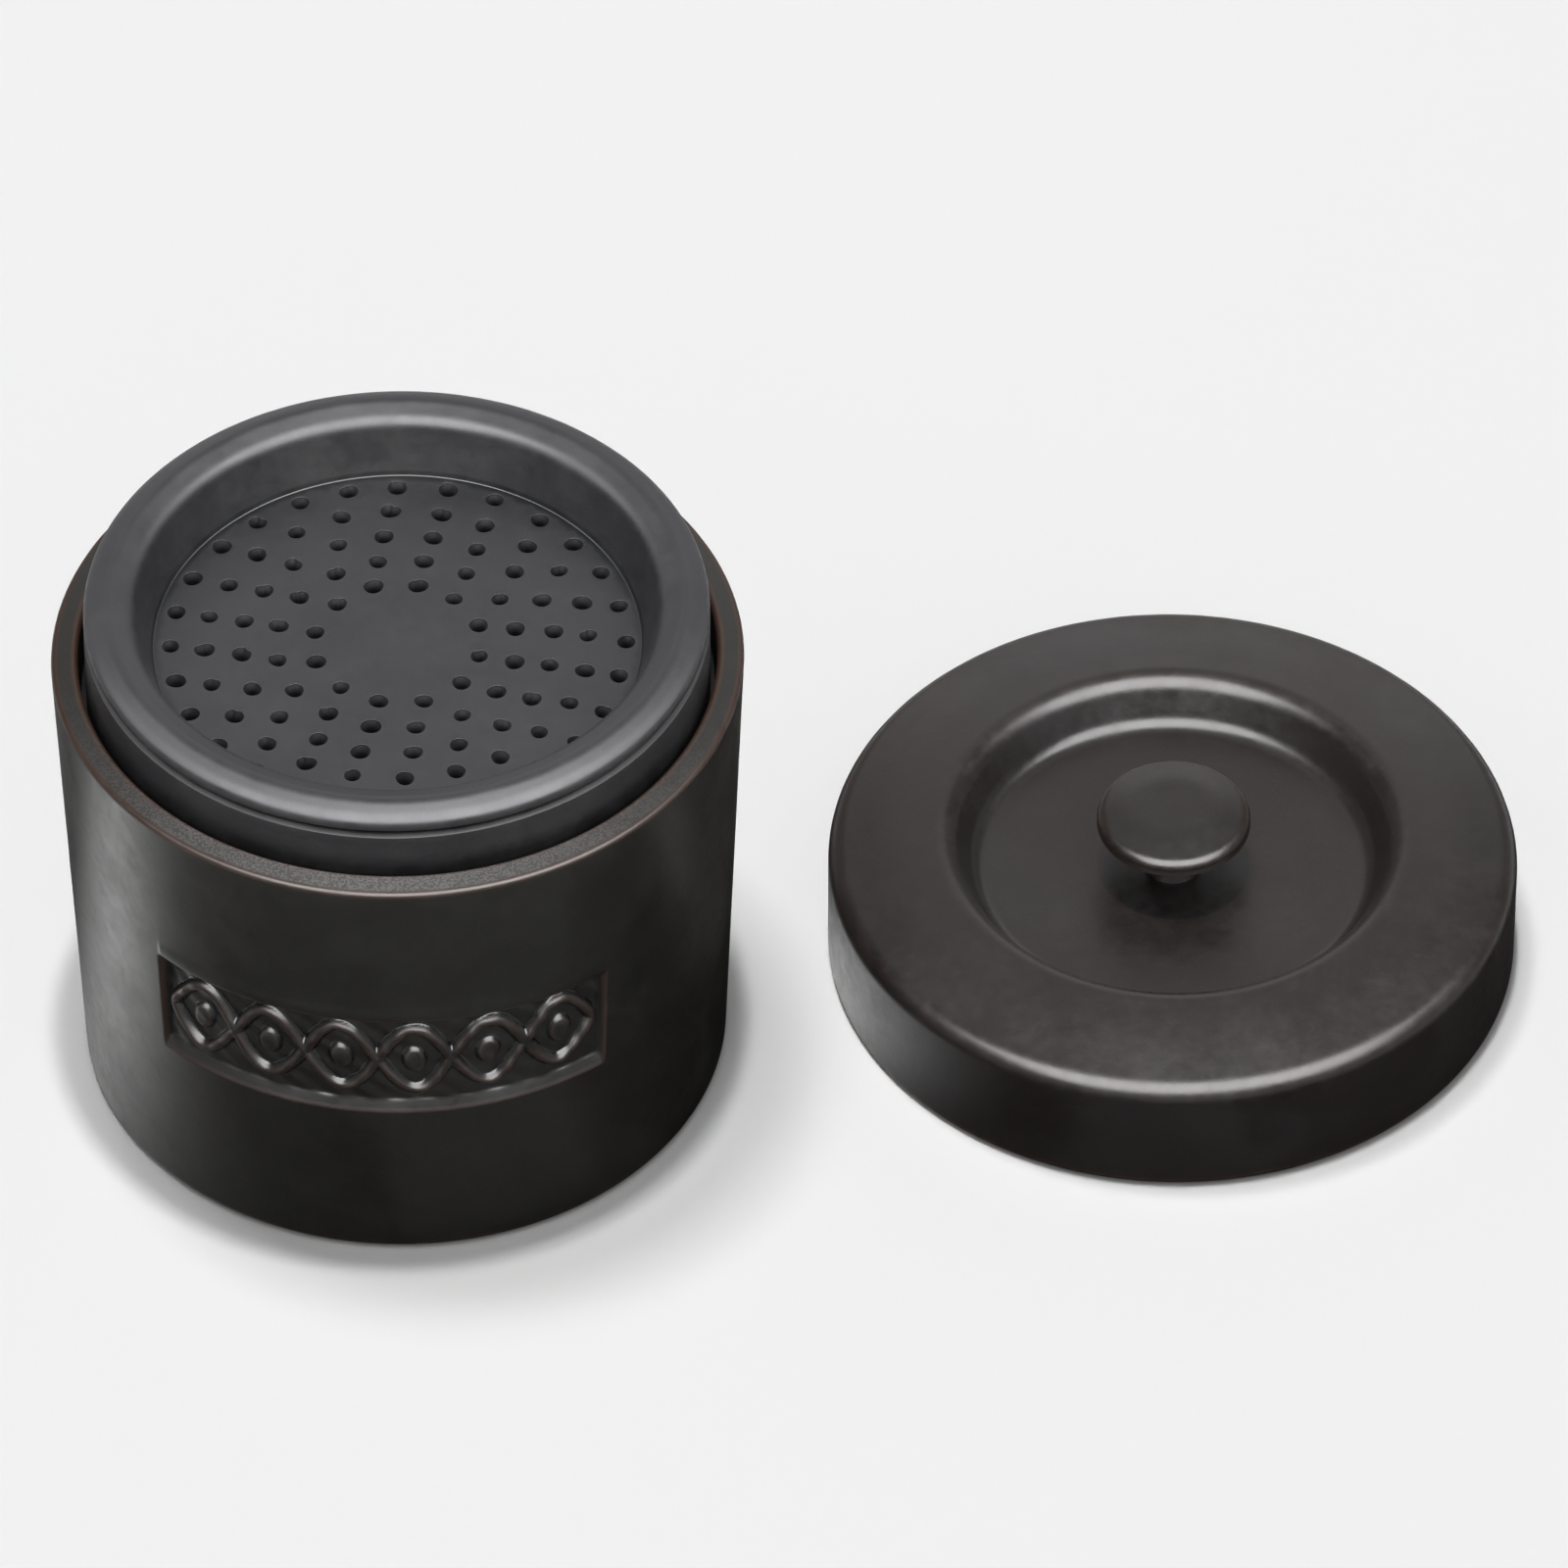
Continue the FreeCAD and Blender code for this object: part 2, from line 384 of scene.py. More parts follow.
def panel_columns():
    """Angles of the crock's columns: close across the panel and open elsewhere."""
    half = PANEL_SPAN / 2 + PANEL_MARGIN / FOOT_RADIUS
    fine = np.arange(FRONT - half, FRONT + half, PANEL_STEP / FOOT_RADIUS)
    rest = 2 * math.pi - 2 * half
    open_count = math.ceil(rest / (2 * math.pi / TURN_COLUMNS))
    coarse = np.linspace(fine[-1], fine[0] + 2 * math.pi, open_count + 1)[1:-1]
    return np.concatenate([fine, coarse])


def smooth_step(values, start, end):
    """0 before start, 1 after end and a smooth ramp between."""
    share = np.clip((values - start) / (end - start), 0, 1)
    return share * share * (3 - 2 * share)


def motif_relief(across, along):
    """Height of the panel's ornament: two strands that weave past each other, a stud in each eye."""
    pitch = (PANEL_SPAN * FOOT_RADIUS - PANEL_SIDE_SPACE) / MOTIF_COUNT
    across = across + MOTIF_WANDER * np.sin(along / (3 * MM) + across / (9 * MM))
    along = along + MOTIF_WANDER * np.sin(across / (7 * MM) + 0.5)
    phase = math.pi * (across / pitch + MOTIF_COUNT / 2)
    slope = MOTIF_SWING * math.pi / pitch * np.cos(phase)
    height = np.zeros(across.shape)
    for side in (-1, 1):
        away = np.abs(along - side * MOTIF_SWING * np.sin(phase)) / np.hypot(1, slope)
        height = np.maximum(height, stroke_height(MOTIF_STROKE / 2 - away))
    height *= np.abs(across) < pitch * MOTIF_COUNT / 2
    for index in range(MOTIF_COUNT):
        x = across - (index - (MOTIF_COUNT - 1) / 2) * pitch
        inside = STUD_HALF_WIDTH * (1 - np.hypot(x / STUD_HALF_WIDTH, along / STUD_HALF_HEIGHT))
        height = np.maximum(height, STUD_RELIEF_SHARE * stroke_height(inside))
    return height


def stroke_height(inside):
    """Height of a raised stroke at a depth inside its edge: steep sides and a rounded top."""
    side = smooth_step(inside, 0, 0.6 * MM)
    crown = smooth_step(inside, 0.3 * MM, 1.3 * MM)
    return MOTIF_RELIEF * (0.75 * side + 0.25 * crown)


def press_panel(grid, angles):
    """Press the label panel into the wall's points.

    Returns how far each point moved and how near it is to the panel's worn edge.
    """
    turn = (angles - FRONT + math.pi) % (2 * math.pi) - math.pi
    across = turn[None, :] * FOOT_RADIUS + 0 * grid[:, :, 2]
    level = grid[:, :, 2]
    outer = np.hypot(grid[:, :, 0], grid[:, :, 1]) > FOOT_RADIUS - OUTER_WALL_MARGIN
    half = PANEL_SPAN / 2 * FOOT_RADIUS
    side = smooth_step(half - np.abs(across), *PANEL_SIDE_RAMP)
    rise = (level - PANEL_BOTTOM) / (PANEL_TOP - PANEL_BOTTOM)
    ledge = np.clip((level - PANEL_BOTTOM) / PANEL_LEDGE + PANEL_LEDGE_START, 0, 1)
    above = smooth_step(PANEL_TOP - level, *PANEL_TOP_RAMP)
    floor = PANEL_FOOT_DEPTH + (PANEL_DEPTH - PANEL_FOOT_DEPTH) * np.clip(rise, 0, 1)
    wave = np.sin(across / (1.3 * MM) + level / (2 * MM)) * np.sin(level / (1.1 * MM) + across / (3 * MM))
    settled = smooth_step(ledge * above * side, 0.8, 1)
    depth = (floor * side * ledge * above + PANEL_FLOOR_WAVE * wave * settled) * outer
    relief = motif_relief(across, level - (PANEL_BOTTOM + PANEL_TOP) / 2 - MOTIF_RISE)
    over = (level - PANEL_TOP - PANEL_BULGE_RISE) / PANEL_BULGE_SPREAD
    bulge = PANEL_BULGE * np.exp(-over ** 2 / 2) * side * outer
    pressed = depth - relief * smooth_step(side * ledge * above, 0.7, 0.98) - bulge
    radius = np.hypot(grid[:, :, 0], grid[:, :, 1])
    grid[:, :, :2] *= (1 - pressed / radius)[:, :, None]
    out = np.maximum(np.abs(across) - half, np.maximum(PANEL_BOTTOM - level, level - PANEL_TOP))
    return pressed, np.exp(-(out / PANEL_EDGE_WEAR) ** 2) * outer


def relief_bend(pressed):
    """Bend of the pressed surface, from how each point stands above its surroundings."""
    blurred = pressed.copy()
    for _ in range(RELIEF_BLURS):
        inner = blurred[1:-1, 1:-1]
        ring = blurred[:-2, 1:-1] + blurred[2:, 1:-1] + blurred[1:-1, :-2] + blurred[1:-1, 2:]
        blurred[1:-1, 1:-1] = inner / 2 + ring / 8
    return np.clip((blurred - pressed) / RELIEF_FOR_FULL_BEND, -1, 1)


def build_crock():
    radii, heights, bends = outline(crock_corners())
    angles = panel_columns()
    grid = turned_grid(radii[1:-1], heights[1:-1], angles)
    share = unevenness(angles[None, :], heights[1:-1, None], CROCK_UNEVENNESS) / RIM_RADIUS
    pressed, edge = press_panel(grid, angles)
    grid[:, :, :2] *= 1 + share[:, :, None]
    ringed = np.repeat(bends[:, None], len(angles), 1)
    ringed[1:-1] += relief_bend(pressed) + edge
    bare_and_sheen = bareness_and_sheen_share(radii, heights, angles, crock_bareness_and_painted_sheen)
    crock = closed_turn("crock_glazed", grid, heights, np.clip(ringed, -1, 1), bare_and_sheen, Vector((0, 0, 0)))
    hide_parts("crock")
    return dress(crock, "crock", "crock_glaze")


def crock_bareness_and_painted_sheen(radius, height, angle):
    """1 on the unglazed foot. On the rim, bare clay weighted to the front and fading round the sides:
    partly bare clay, partly a painted paler sheen on the side where the light falls.
    """
    across = RIM_RADIUS - radius
    rim_surface = RIM_LEVEL - RIM_FALL * (1 - across / RIM_WIDTH)
    if height > rim_surface - WIPED_DEPTH and RIM_ROUND < across < RIM_WIDTH:
        return max(0.0, -math.sin(angle)) ** 2
    return foot_bareness(radius, height, angle)


def foot_bareness(radius, height, angle):
    """1 where a piece stands on the table and its glaze is wiped off."""
    return float(height < FOOT_CONTACT)


# ---------------------------------------------------------------- strainer

def strainer_corners():
    """Outline of the strainer from the underside of its floor round to the top of it."""
    floor = LEDGE_LEVEL + DISH_HEIGHT
    under = floor - DISH_FLOOR_THICKNESS
    shoulder = LEDGE_LEVEL + COLLAR_HEIGHT
    foot = shoulder + GROOVE_GAP
    top = foot + BEAD_HEIGHT
    edge = foot + BEAD_EDGE_HEIGHT
    inner = COLLAR_RADIUS - COLLAR_WALL
    return [
        (plate_radius(), under, 0),
        (inner, under, COLLAR_INNER_ROUND),
        (inner, LEDGE_LEVEL, LEDGE_ROUND),
        (COLLAR_RADIUS, LEDGE_LEVEL, LEDGE_ROUND),
        (COLLAR_RADIUS, shoulder, COLLAR_SHOULDER_ROUND),
        (COLLAR_RADIUS - GROOVE_DEPTH, foot - GROOVE_GAP / 2, GROOVE_ROUND),
        (COLLAR_RADIUS, foot, BEAD_FOOT_ROUND),
        (COLLAR_RADIUS, edge, BEAD_EDGE_ROUND),
        (COLLAR_RADIUS - BEAD_RIDGE_INSET / 3, edge + (top - edge) / 3 + BEAD_SWELL, BEAD_SWELL_ROUND),
        (COLLAR_RADIUS - BEAD_RIDGE_INSET, top, BEAD_RIDGE_ROUND),
        (COLLAR_RADIUS - BEAD_WIDTH, top - BEAD_INNER_FALL, BEAD_INNER_ROUND),
        (dish_radius(), floor, DISH_CORNER_ROUND),
        (plate_radius(), floor, 0),
    ]


def dish_radius():
    """Radius of the flat floor of the strainer's dish."""
    return COLLAR_RADIUS - BEAD_WIDTH - DISH_WALL_LEAN


def plate_radius():
    """Radius of the flat plate that holds the holes, inside the dish's rounded corner."""
    return dish_radius() - 0.75 * DISH_CORNER_ROUND


def hole_places(random):
    """Centre and size of each hole: rings that share one radial line, none quite true."""
    pitch = (dish_radius() - HOLE_MARGIN - INNER_RING_RADIUS) / (HOLE_RINGS - 1)
    for ring in range(HOLE_RINGS):
        count = INNER_RING_HOLES + ring * HOLES_ADDED_PER_RING
        for index in range(count):
            radius = HOLE_RADIUS * (1 + HOLE_SIZE_SPREAD * random.uniform(-1, 1))
            reach = INNER_RING_RADIUS + ring * pitch + HOLE_REACH_SPREAD * random.uniform(-1, 1)
            reach = min(reach, plate_radius() - HOLE_RIM_CLEARANCE - HOLE_LARGEST_SHARE * radius)
            turn = HOLE_START + 2 * math.pi * index / count
            turn += HOLE_TURN_SPREAD * random.uniform(-1, 1) / reach
            yield reach * math.cos(turn), reach * math.sin(turn), radius


def hole_outline(random):
    """Radius of one hole around its centre, as a share: glaze leaves it out of round."""
    angles = np.arange(HOLE_COLUMNS) * 2 * math.pi / HOLE_COLUMNS
    share = 1 + HOLE_OVAL * np.cos(2 * angles + random.uniform(0, 6))
    share += HOLE_TRIANGLE * np.cos(3 * angles + random.uniform(0, 6))
    if random.uniform() < NOTCH_CHANCE:
        notch = (angles - math.pi / 2 - random.uniform(-0.6, 0.6) + math.pi) % (2 * math.pi) - math.pi
        share -= random.uniform(NOTCH_LEAST, NOTCH_MOST) * np.exp(-(notch / NOTCH_WIDTH) ** 2)
    return angles, share


def hole_rows(top, bottom):
    """(grown radius, height) down the wall of a hole: a soft lip, a throat that narrows, a lip."""
    lip = [
        (HOLE_LIP * (1 - math.sin(angle)), HOLE_LIP * (1 - math.cos(angle)))
        for angle in np.linspace(0, math.pi / 2, 5)
    ]
    rows = [(grown, top - inward) for grown, inward in lip]
    for share in np.linspace(0, 1, 7)[1:]:
        rows.append((-HOLE_FLARE * math.sin(share * math.pi / 2), top - HOLE_LIP - HOLE_THROAT * share))
    return rows + [(grown - HOLE_FLARE, bottom + inward) for grown, inward in reversed(lip)]


def plate_faces(points, rim, holes, inner):
    """Triangles of a plate between its rim and its holes, as indices into points."""
    rings = [rim] + holes
    order = [index for ring in rings for index in ring] + inner
    flat = [Vector(points[index][:2]) / MM for index in order]
    edges, start = [], 0
    for ring in rings:
        edges += [(start + i, start + (i + 1) % len(ring)) for i in range(len(ring))]
        start += len(ring)
    owner = [number for number, ring in enumerate(rings) for _ in ring] + [-1] * len(inner)
    _, _, triangles, originals, _, _ = delaunay_2d_cdt(flat, edges, [], 1, 1e-6)
    faces = []
    for triangle in triangles:
        corners = [originals[corner][0] for corner in triangle]
        owners = {owner[corner] for corner in corners}
        if len(owners) > 1 or owners <= {0, -1} or not fills_hole(corners):
            faces.append([order[corner] for corner in corners])
    return faces


def fills_hole(corners):
    """True for a triangle that turns the same way as the hole's ring that its corners lie on.

    In a notch of the ring, a triangle of the plate can have all its corners on the ring
    too, and turns the other way.
    """
    first = corners.index(min(corners))
    return corners[(first + 1) % 3] < corners[(first + 2) % 3]


def plate_inner_points(holes):
    """Evenly spread points of the plate that keep clear of its rim and its holes."""
    reach = plate_radius() - FLOOR_SPACING / 2
    steps = np.arange(-reach, reach, FLOOR_SPACING)
    x, y = np.meshgrid(steps, steps)
    x = (x + (np.arange(len(steps)) % 2)[:, None] * FLOOR_SPACING / 2).ravel()
    y = y.ravel()
    keep = np.hypot(x, y) < reach
    for hole_x, hole_y, radius in holes:
        keep &= np.hypot(x - hole_x, y - hole_y) > 1.25 * radius + 0.1 * MM
    return x[keep], y[keep]


def floor_wave(x, y):
    """Slight rise and fall of the dish's floor, fading out at its rim."""
    wave = np.sin(x / (9 * MM) + 1.3) * np.sin(y / (11 * MM) - 0.4) + 0.5 * np.sin((x - y) / (5 * MM))
    return FLOOR_WAVE * wave * (1 - smooth_step(np.hypot(x, y), 0.8 * plate_radius(), plate_radius()))


def build_strainer():
    random = np.random.RandomState(RANDOM_SEED)
    radii, heights, bends = outline(strainer_corners())
    angles = np.arange(TURN_COLUMNS) * 2 * math.pi / TURN_COLUMNS
    points = turned_grid(radii, heights, angles).reshape(-1, 3).tolist()
    bend = np.repeat(bends, TURN_COLUMNS).tolist()
    faces = ring_faces(len(radii), TURN_COLUMNS)
    holes = list(hole_places(random))
    rows = hole_rows(heights[-1], heights[0])
    mouths = []
    for x, y, radius in holes:
        around, share = hole_outline(random)
        first = len(points)
        faces += ring_faces(len(rows), HOLE_COLUMNS, first)
        for grown, height in rows:
            reach = radius * share + grown
            ring = [x + reach * np.cos(around), y + reach * np.sin(around), 0 * around + height]
            points += np.stack(ring, 1).tolist()
            bend += [0.0] * HOLE_COLUMNS
        mouths.append(first)
    inner_x, inner_y = plate_inner_points(holes)
    top_plate = (heights[-1], (len(radii) - 1) * TURN_COLUMNS, 0, True)
    bottom_plate = (heights[0], 0, len(rows) - 1, False)
    for height, rim_start, hole_row, up in (top_plate, bottom_plate):
        inner = list(range(len(points), len(points) + len(inner_x)))
        points += np.stack([inner_x, inner_y, 0 * inner_x + height], 1).tolist()
        bend += [0.0] * len(inner)
        starts = [first + hole_row * HOLE_COLUMNS for first in mouths]
        mouth_rings = [list(range(start, start + HOLE_COLUMNS)) for start in starts]
        rim = list(range(rim_start, rim_start + TURN_COLUMNS))
        plate = plate_faces(points, rim, mouth_rings, inner)
        faces += plate if up else [face[::-1] for face in plate]
    points = np.array(points)
    inside = np.hypot(points[:, 0], points[:, 1]) < plate_radius()
    points[inside, 2] += floor_wave(points[inside, 0], points[inside, 1])
    strainer = mesh_object("strainer_glazed", points, faces, bend, np.zeros(len(points)))
    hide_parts("strainer")
    return dress(strainer, "strainer", "strainer_glaze")


# ---------------------------------------------------------------- lid and knob

def lid_corners():
    """Outline of the lid from the underside of its floor, round the skirt, to the recess."""
    lip = LID_RADIUS - LID_CROWN_WIDTH
    recess = lip - RECESS_TAPER
    lean = RECESS_TAPER / (LID_LIP_HEIGHT - RECESS_LEVEL)
    across = LID_WALL * math.hypot(1, lean) - LID_WALL * lean
    skirt = LID_RADIUS - SKIRT_WALL
    return [
        (0, RECESS_LEVEL - LID_WALL, 0),
        (recess + across, RECESS_LEVEL - LID_WALL, LID_INNER_ROUND),
        (lip + across, LID_LIP_HEIGHT - LID_WALL, LID_INNER_ROUND),
        (skirt, LID_SHOULDER_HEIGHT - LID_WALL, LID_INNER_ROUND),
        (skirt, 0, SKIRT_FOOT_ROUND),
        (LID_RADIUS, 0, SKIRT_FOOT_ROUND),
        (LID_RADIUS, LID_SHOULDER_HEIGHT, LID_SHOULDER_ROUND),
        ((LID_RADIUS + lip) / 2, LID_LIP_HEIGHT - LID_CROWN_FALL, LID_CROWN_ROUND),
        (lip, LID_LIP_HEIGHT, LID_LIP_ROUND),
        (recess, RECESS_LEVEL, RECESS_ROUND),
        (0, RECESS_LEVEL, 0),
    ]


def knob_corners():
    """Outline of the knob from its foot on the lid up to the top of its cap."""
    shoulder = KNOB_TOP - KNOB_CROWN_FALL
    edge = shoulder - KNOB_EDGE_HEIGHT
    return [
        (0, RECESS_LEVEL, 0),
        (KNOB_FOOT_RADIUS, RECESS_LEVEL, 0),
        (KNOB_NECK_RADIUS, RECESS_LEVEL + KNOB_FOOT_FLARE, KNOB_NECK_ROUND),
        (KNOB_NECK_RADIUS, edge - KNOB_UNDERSIDE_RISE, KNOB_NECK_ROUND),
        (KNOB_RADIUS, edge, KNOB_RIM_FOOT_ROUND),
        (KNOB_RADIUS, shoulder, KNOB_EDGE_ROUND),
        (KNOB_RADIUS - KNOB_CROWN_WIDTH, KNOB_TOP, KNOB_CROWN_ROUND),
        (0, KNOB_TOP, 0),
    ]


def build_lid():
    lid = turned("lid_glazed", lid_corners(), foot_bareness, LID_CENTRE, LID_UNEVENNESS)
    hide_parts("lid")
    return dress(lid, "lid", "lid_glaze")


def build_knob():
    knob = turned("lid_knob_glazed", knob_corners(), None, LID_CENTRE, 0.0)
    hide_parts("lid_knob")
    return dress(knob, "lid", "knob_glaze")


def dress(piece, body, slot):
    """Let a piece ride on its body and give it the glaze of its slot."""
    piece.data.materials.append(GLAZES[slot])
    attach(piece, body)
    return piece


# ---------------------------------------------------------------- glaze

MIX_COLOUR_INPUTS = (0, 6, 7)
MIX_COLOUR_OUTPUT = 2

CLOUD_SCALE = 34.0
STAIN_SCALE = 95.0
MOTTLE_SCALE = 420.0
GRAIN_SCALE = 2600.0
BUMP_DISTANCE = 0.03 * MM
GLAZE_IOR = 1.45
SPECK = (0.04, 0.039, 0.039, 1)
POOL = (0.004, 0.005, 0.006, 1)
RUST = (0.038, 0.018, 0.0105, 1)
# Colours of bare clay, which on the front of the crock's rim also paint a paler sheen where the light
# falls
CLAY_AND_SHEEN_DARK = (0.05, 0.045, 0.043, 1)
CLAY_AND_SHEEN_PALE = (0.14, 0.13, 0.128, 1)
OLIVE_BLACK = (0.0155, 0.0145, 0.012, 1)
WARM_BLACK = (0.0155, 0.0108, 0.009, 1)
OLIVE_BROWN = (0.0175, 0.0155, 0.0125, 1)
BLUE_BLACK = (0.0125, 0.0125, 0.0165, 1)
GREY_BLACK = (0.0195, 0.0155, 0.015, 1)
BLUE_GREY = (0.0155, 0.0145, 0.018, 1)


class Nodes:
    """A material's node tree with short calls for what the glaze needs."""

    def __init__(self, name):
        self.material = bpy.data.materials.new(name)
        self.material.use_nodes = True
        self.tree = self.material.node_tree
        self.shader = self.tree.nodes["Principled BSDF"]
        self.place = self.tree.nodes.new("ShaderNodeTexCoord").outputs["Object"]

    def feed(self, socket, value):
        if isinstance(value, bpy.types.NodeSocket):
            self.tree.links.new(value, socket)
        else:
            socket.default_value = value

    def noise(self, scale, detail=2.0, roughness=0.5):
        node = self.tree.nodes.new("ShaderNodeTexNoise")
        self.feed(node.inputs["Vector"], self.place)
        self.feed(node.inputs["Scale"], scale)
        self.feed(node.inputs["Detail"], detail)
        self.feed(node.inputs["Roughness"], roughness)
        return node.outputs["Fac"]

    def attribute(self, name):
        node = self.tree.nodes.new("ShaderNodeAttribute")
        node.attribute_name = name
        return node.outputs["Fac"]

    def sum(self, operation, first, second, third=0.0):
        node = self.tree.nodes.new("ShaderNodeMath")
        node.operation = operation
        for socket, value in zip(node.inputs, (first, second, third)):
            self.feed(socket, value)
        return node.outputs[0]

    def ramp(self, value, start, end, low=0.0, high=1.0):
        node = self.tree.nodes.new("ShaderNodeMapRange")
        node.interpolation_type = "SMOOTHSTEP"
        for socket, number in zip(node.inputs, (value, start, end, low, high)):
            self.feed(socket, number)
        return node.outputs[0]

    def mix(self, share, first, second):
        node = self.tree.nodes.new("ShaderNodeMix")
        node.data_type = "RGBA"
        for index, value in zip(MIX_COLOUR_INPUTS, (share, first, second)):
            self.feed(node.inputs[index], value)
        return node.outputs[MIX_COLOUR_OUTPUT]

    def bump(self, height, distance):
        node = self.tree.nodes.new("ShaderNodeBump")
        self.feed(node.inputs["Height"], height)
        self.feed(node.inputs["Distance"], distance)
        self.tree.links.new(node.outputs["Normal"], self.shader.inputs["Normal"])


def glaze(name, base, cloud, rust, rough, break_start):
    """Satin stoneware glaze: clouded body, rust where it breaks on edges, glossier in hollows."""
    nodes = Nodes(name)
    clouds = nodes.noise(CLOUD_SCALE, 3.0)
    mottle = nodes.noise(MOTTLE_SCALE, 4.0, 0.6)
    stains = nodes.noise(STAIN_SCALE, 5.0, 0.65)
    grain = nodes.noise(GRAIN_SCALE, 2.0)
    bend = nodes.attribute("bend")
    bare_and_sheen = nodes.attribute("bare_and_sheen")
    uneven_bend = nodes.sum("MULTIPLY_ADD", mottle, 0.5, nodes.sum("SUBTRACT", bend, 0.25))
    thin = nodes.ramp(uneven_bend, break_start, break_start + 0.45)
    pooled = nodes.ramp(bend, -0.15, -0.9)
    body = nodes.mix(nodes.ramp(clouds, 0.35, 0.68), base, cloud)
    speck = nodes.ramp(grain, 0.60, 0.72)
    body = nodes.mix(nodes.sum("MULTIPLY", speck, 0.35), body, SPECK)
    body = nodes.mix(thin, body, rust)
    body = nodes.mix(pooled, body, POOL)
    # Bare clay, paler and rougher than the glaze; on the front of the crock's rim this is also a painted
    # sheen where the light falls
    clay_and_sheen = nodes.mix(nodes.ramp(grain, 0.4, 0.6), CLAY_AND_SHEEN_DARK, CLAY_AND_SHEEN_PALE)
    body = nodes.mix(nodes.sum("MULTIPLY", bare_and_sheen, 0.8), body, clay_and_sheen)
    nodes.feed(nodes.shader.inputs["Base Color"], body)
    roughness = nodes.sum("MULTIPLY_ADD", mottle, 0.16, rough - 0.08)
    roughness = nodes.sum("SUBTRACT", roughness, 0.04)
    roughness = nodes.sum("MULTIPLY_ADD", nodes.ramp(stains, 0.35, 0.7), 0.08, roughness)
    roughness = nodes.sum("MULTIPLY_ADD", thin, 0.06, roughness)
    roughness = nodes.sum("MULTIPLY_ADD", pooled, -0.1, roughness)
    roughness = nodes.sum("MULTIPLY_ADD", bare_and_sheen, 0.2, roughness)
    nodes.feed(nodes.shader.inputs["Roughness"], roughness)
    nodes.shader.inputs["IOR"].default_value = GLAZE_IOR
    height = nodes.sum("MULTIPLY_ADD", grain, nodes.sum("MULTIPLY_ADD", bare_and_sheen, 1.2, 0.15), mottle)
    nodes.bump(height, BUMP_DISTANCE)
    return nodes.material


GLAZES = {
    "crock_glaze": glaze("crock_glaze", OLIVE_BLACK, OLIVE_BROWN, RUST, 0.36, 0.35),
    "strainer_glaze": glaze("strainer_glaze", BLUE_BLACK, BLUE_GREY, BLUE_GREY, 0.44, 0.5),
    "lid_glaze": glaze("lid_glaze", WARM_BLACK, GREY_BLACK, RUST, 0.36, 0.2),
    "knob_glaze": glaze("knob_glaze", WARM_BLACK, OLIVE_BLACK, RUST, 0.34, 0.35),
}


# ---------------------------------------------------------------- studio

FLOOR_COLOUR = (0.88, 0.88, 0.88, 1)
FLOOR_SIZE = 16.0
WORLD_STRENGTH = 0.25
LIGHT_TARGET = Vector((0.065, 0, 0.05))

# name, azimuth, elevation, distance, width, height, radiance, what it lights, on which body
SOFTBOXES = (
    ("overhead", -135, 89.3, 3.5, 0.17, 0.17, 580, "diffuse", None),
    ("overhead_back", -128, 80, 3.5, 0.6, 0.6, 39, "diffuse", None),
    ("key", 14, 56, 1.6, 3.2, 1.79, 13.5, "gloss", None),
    ("back", 180, 47, 2.0, 1.5, 3.0, 0.5, "gloss", None),
    ("back_low", 180, 24, 2.5, 1.9, 1.1, 0.5, "gloss", None),
    ("strainer_key_left", -82, 40, 1.6, 1.3, 1.2, 5.0, "gloss", "strainer"),
    ("strainer_key_right", 98, 40, 1.6, 1.0, 1.2, 4.2, "gloss", "strainer"),
    ("strainer_left", -138, 30, 2.0, 2.3, 2.1, 0.6, "gloss", "strainer"),
    ("strainer_right", 132, 30, 2.0, 2.5, 2.1, 0.6, "gloss", "strainer"),
)

# name, centre, turn, half length, half width, radiance, body: soft glows on the table, each
# seen by the gloss of one body alone
GLOWS = (
    ("crock_glow", (-0.110, -0.014), -14, 0.055, 0.024, 2.6, "crock"),
    ("lid_glow", (0.069, 0.003), -75, 0.026, 0.013, 1.5, "lid"),
)
GLOW_REACH = 2.2
GLOW_CELLS = 24

# name, centre, radius, grey: dark cards on the table, seen only in reflections, that paint shade into
# what the walls mirror
SHADE_MATS = (
    ("crock_painted_shade_mat", Vector((0, -0.016, 0)), 0.150, 0.14),
    ("lid_painted_shade_mat", LID_CENTRE, 0.111, 0.03),
)
SHADE_MAT_LIFT = 0.3 * MM
GLOW_LIFT = 0.6 * MM


def add_floor():
    nodes = Nodes("studio_floor")
    tone = nodes.ramp(nodes.noise(3.0), 0.3, 0.7)
    pale = tuple(channel * 0.985 for channel in FLOOR_COLOUR[:3]) + (1,)
    nodes.feed(nodes.shader.inputs["Base Color"], nodes.mix(tone, pale, FLOOR_COLOUR))
    nodes.shader.inputs["Roughness"].default_value = 0.9
    nodes.shader.inputs["Specular IOR Level"].default_value = 0.0
    half = FLOOR_SIZE / 2
    corners = [(-half, -half, 0), (half, -half, 0), (half, half, 0), (-half, half, 0)]
    add_sheet("studio_floor", corners, [(0, 1, 2, 3)], nodes.material)


def add_sheet(name, points, faces, material):
    """Flat prop of the studio, made where it lies."""
    mesh = bpy.data.meshes.new(name)
    mesh.from_pydata(points, [], faces)
    mesh.materials.append(material)
    sheet = bpy.data.objects.new(name, mesh)
    bpy.context.scene.collection.objects.link(sheet)
    return sheet


def show_to_gloss_alone(sheet):
    """Keep a prop out of everything but reflections."""
    sheet.visible_camera = False
    sheet.visible_diffuse = False
    sheet.visible_shadow = False
    sheet.visible_transmission = False


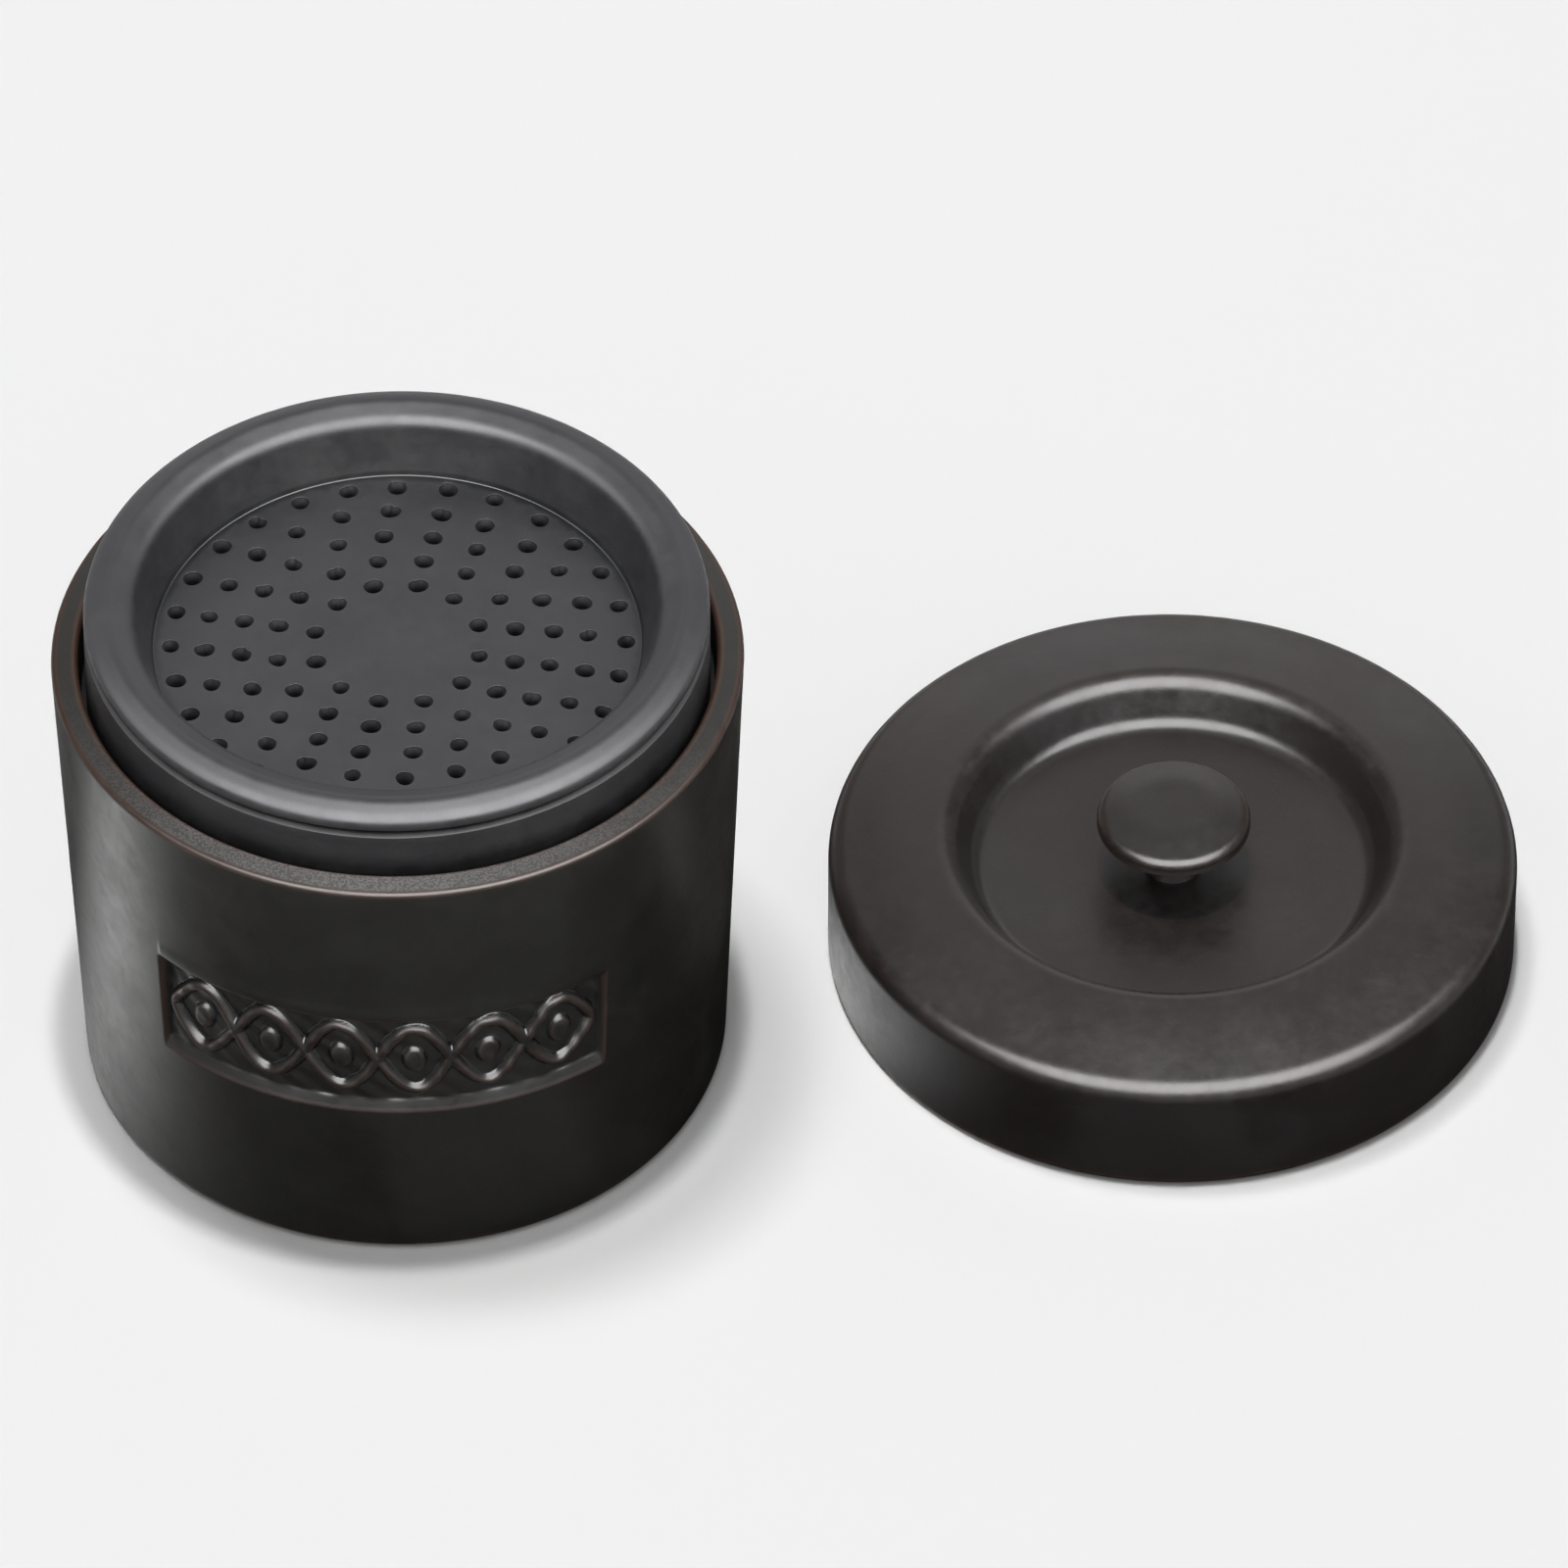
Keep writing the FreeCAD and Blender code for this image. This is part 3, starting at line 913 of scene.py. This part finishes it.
def add_shade_mat(name, centre, radius, grey):
    """Dark round card on the table, seen only in reflections: painted shade in what the walls mirror."""
    nodes = Nodes(name)
    nodes.shader.inputs["Base Color"].default_value = (grey, grey, grey, 1)
    nodes.shader.inputs["Specular IOR Level"].default_value = 0.0
    angles = np.arange(TURN_COLUMNS) * 2 * math.pi / TURN_COLUMNS
    rim = [(radius * math.cos(angle), radius * math.sin(angle), SHADE_MAT_LIFT) for angle in angles]
    shade_mat = add_sheet(name, rim, [range(TURN_COLUMNS)], nodes.material)
    shade_mat.location = centre
    show_to_gloss_alone(shade_mat)


def add_glow(name, centre, turn, half_length, half_width, radiance, body):
    """Soft glow on the table that fades outward and lights one body's gloss alone."""
    nodes = Nodes(name)
    nodes.shader.inputs["Base Color"].default_value = (0, 0, 0, 1)
    nodes.shader.inputs["Specular IOR Level"].default_value = 0.0
    nodes.shader.inputs["Emission Color"].default_value = (1, 1, 1, 1)
    strength = nodes.sum("MULTIPLY", nodes.attribute("glow"), radiance)
    nodes.feed(nodes.shader.inputs["Emission Strength"], strength)
    steps = np.linspace(-GLOW_REACH, GLOW_REACH, GLOW_CELLS + 1)
    along, across = (axis.ravel() for axis in np.meshgrid(steps, steps))
    points = np.stack([along * half_length, across * half_width, 0 * along], 1).tolist()
    row, column = (axis.ravel() for axis in np.meshgrid(range(GLOW_CELLS), range(GLOW_CELLS)))
    first = column * (GLOW_CELLS + 1) + row
    faces = np.stack([first, first + 1, first + GLOW_CELLS + 2, first + GLOW_CELLS + 1], 1).tolist()
    sheet = add_sheet(name, points, faces, nodes.material)
    glow = sheet.data.attributes.new("glow", "FLOAT", "POINT")
    glow.data.foreach_set("value", np.exp(-along ** 2 - across ** 2).astype(np.float32))
    sheet.location = (*centre, GLOW_LIFT)
    sheet.rotation_euler = (0, 0, math.radians(turn))
    show_to_gloss_alone(sheet)
    light_only(sheet, body)


def light_only(source, body):
    """Let a light or a glowing prop reach the pieces of one body alone."""
    lit = bpy.data.collections.new(source.name)
    for piece in PIECES[body]:
        lit.objects.link(piece)
    source.light_linking.receiver_collection = lit


def add_softbox(name, azimuth, elevation, distance, width, height, radiance, lights, body):
    """Softbox that faces the object, for diffuse or for gloss alone and out of sight.

    Azimuth 0 is in front and 90 at the right.
    """
    data = bpy.data.lights.new(name, "AREA")
    data.shape = "RECTANGLE"
    data.size = width
    data.size_y = height
    data.energy = radiance * math.pi * width * height
    light = bpy.data.objects.new(name, data)
    light.visible_camera = False
    light.visible_diffuse = lights == "diffuse"
    light.visible_glossy = lights == "gloss"
    side, rise = math.radians(azimuth), math.radians(elevation)
    towards = Vector((math.sin(side) * math.cos(rise), -math.cos(side) * math.cos(rise), math.sin(rise)))
    light.location = LIGHT_TARGET + distance * towards
    light.rotation_euler = towards.to_track_quat("Z", "Y").to_euler()
    bpy.context.scene.collection.objects.link(light)
    if body:
        light_only(light, body)


def add_world():
    world = bpy.data.worlds.new("studio")
    bpy.context.scene.world = world
    world.use_nodes = True
    background = world.node_tree.nodes["Background"]
    background.inputs["Color"].default_value = (1, 1, 1, 1)
    background.inputs["Strength"].default_value = WORLD_STRENGTH


def add_camera():
    data = bpy.data.cameras.new("camera")
    data.lens = CAMERA_LENS
    data.sensor_width = 36
    data.clip_end = 50
    camera = bpy.data.objects.new("camera", data)
    facing = Euler((math.pi / 2 - CAMERA_PITCH, 0, CAMERA_TURN)).to_matrix()
    target = Matrix.Rotation(CAMERA_TURN, 3, "Z") @ CAMERA_TARGET
    place = target + facing @ Vector((0, 0, CAMERA_DISTANCE))
    camera.matrix_world = Matrix.Translation(place) @ facing.to_4x4()
    bpy.context.scene.collection.objects.link(camera)
    bpy.context.scene.camera = camera


PIECES = {
    "crock": [build_crock()],
    "strainer": [build_strainer()],
    "lid": [build_lid(), build_knob()],
}
add_floor()
add_world()
# Dark cards that paint shade into the walls' reflections
for shade_mat in SHADE_MATS:
    add_shade_mat(*shade_mat)
for softbox in SOFTBOXES:
    add_softbox(*softbox)
for glow in GLOWS:
    add_glow(*glow)
add_camera()
bpy.context.scene.view_settings.view_transform = "Standard"
